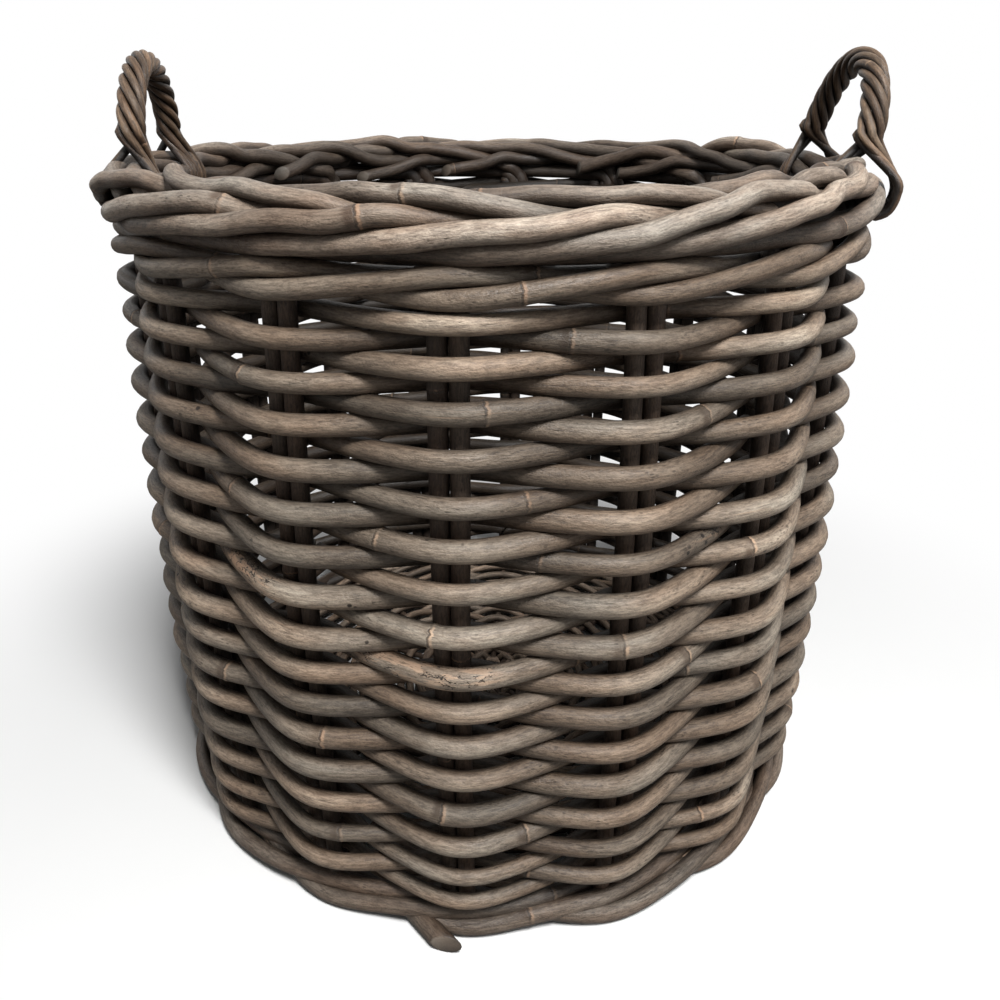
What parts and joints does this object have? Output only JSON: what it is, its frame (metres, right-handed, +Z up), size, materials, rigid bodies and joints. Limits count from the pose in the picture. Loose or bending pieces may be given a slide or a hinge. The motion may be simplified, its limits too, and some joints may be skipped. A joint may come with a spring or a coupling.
{
  "type": "planter basket",
  "caption": "Round outdoor planter basket woven from grey rattan rods round upright stakes, with a rolled border, a roped foot ring and two twisted ear handles.",
  "frame": {"origin": "centre of the foot ring on the ground, below the middle of the basket", "axes": "+Z up, -Y to the front where the foot rod's cut tail stands out, +X to the right-hand handle"},
  "size_m": [0.4567, 0.446, 0.4461],
  "materials": {
    "weaver_rattan": "unpeeled rattan rod, grey washed and weathered, satin skin with fine grain, node rings and peeled streaks",
    "stake_rattan": "darker brown rattan rod, matt",
    "border_rattan": "thick grey-brown rattan rod with long cracks, specks and pale wear, satin",
    "handle_rattan": "twisted tan and grey rattan strands, satin",
    "base_rattan": "woven thin rattan, grey washed, matt"
  },
  "bodies": {
    "root": {"foot_rod": "border_rattan", "base_weave": "base_rattan", "base_sticks": "stake_rattan", "stake_pair_01": "stake_rattan", "stake_pair_02": "stake_rattan", "stake_pair_03": "stake_rattan", "stake_pair_04": "stake_rattan", "stake_pair_05": "stake_rattan", "stake_pair_06": "stake_rattan", "stake_pair_07": "stake_rattan", "stake_pair_08": "stake_rattan", "stake_pair_09": "stake_rattan", "stake_pair_10": "stake_rattan", "stake_pair_11": "stake_rattan", "stake_pair_12": "stake_rattan", "stake_pair_13": "stake_rattan", "stake_pair_14": "stake_rattan", "stake_pair_15": "stake_rattan", "stake_pair_16": "stake_rattan", "weaver_row_01": "weaver_rattan", "weaver_row_02": "weaver_rattan", "weaver_row_03": "weaver_rattan", "weaver_row_04": "weaver_rattan", "weaver_row_05": "weaver_rattan", "weaver_row_06": "weaver_rattan", "weaver_row_07": "weaver_rattan", "weaver_row_08": "weaver_rattan", "weaver_row_09": "weaver_rattan", "weaver_row_10": "weaver_rattan", "weaver_row_11": "weaver_rattan", "weaver_row_12": "weaver_rattan", "weaver_row_13": "weaver_rattan", "weaver_row_14": "weaver_rattan", "weaver_row_15": "weaver_rattan", "weaver_row_16": "weaver_rattan", "weaver_row_17": "weaver_rattan", "weaver_row_18": "weaver_rattan", "weaver_row_19": "weaver_rattan", "weaver_row_20": "weaver_rattan", "weaver_row_21": "weaver_rattan", "weaver_row_22": "weaver_rattan", "weaver_row_23": "weaver_rattan", "weaver_row_24": "weaver_rattan", "weaver_row_25": "weaver_rattan", "weaver_row_26": "weaver_rattan", "weaver_row_27": "weaver_rattan", "weaver_row_28": "weaver_rattan", "weaver_row_29": "weaver_rattan", "weaver_row_30": "weaver_rattan", "weaver_row_31": "weaver_rattan", "wale_rod_1": "weaver_rattan", "wale_rod_2": "weaver_rattan", "wale_rod_3": "weaver_rattan", "border_rod_1": "border_rattan", "border_rod_2": "border_rattan", "border_rod_3": "border_rattan", "border_rod_4": "border_rattan", "border_rod_5": "border_rattan", "handle_left": "handle_rattan", "handle_right": "handle_rattan"}
  },
  "joints": []
}
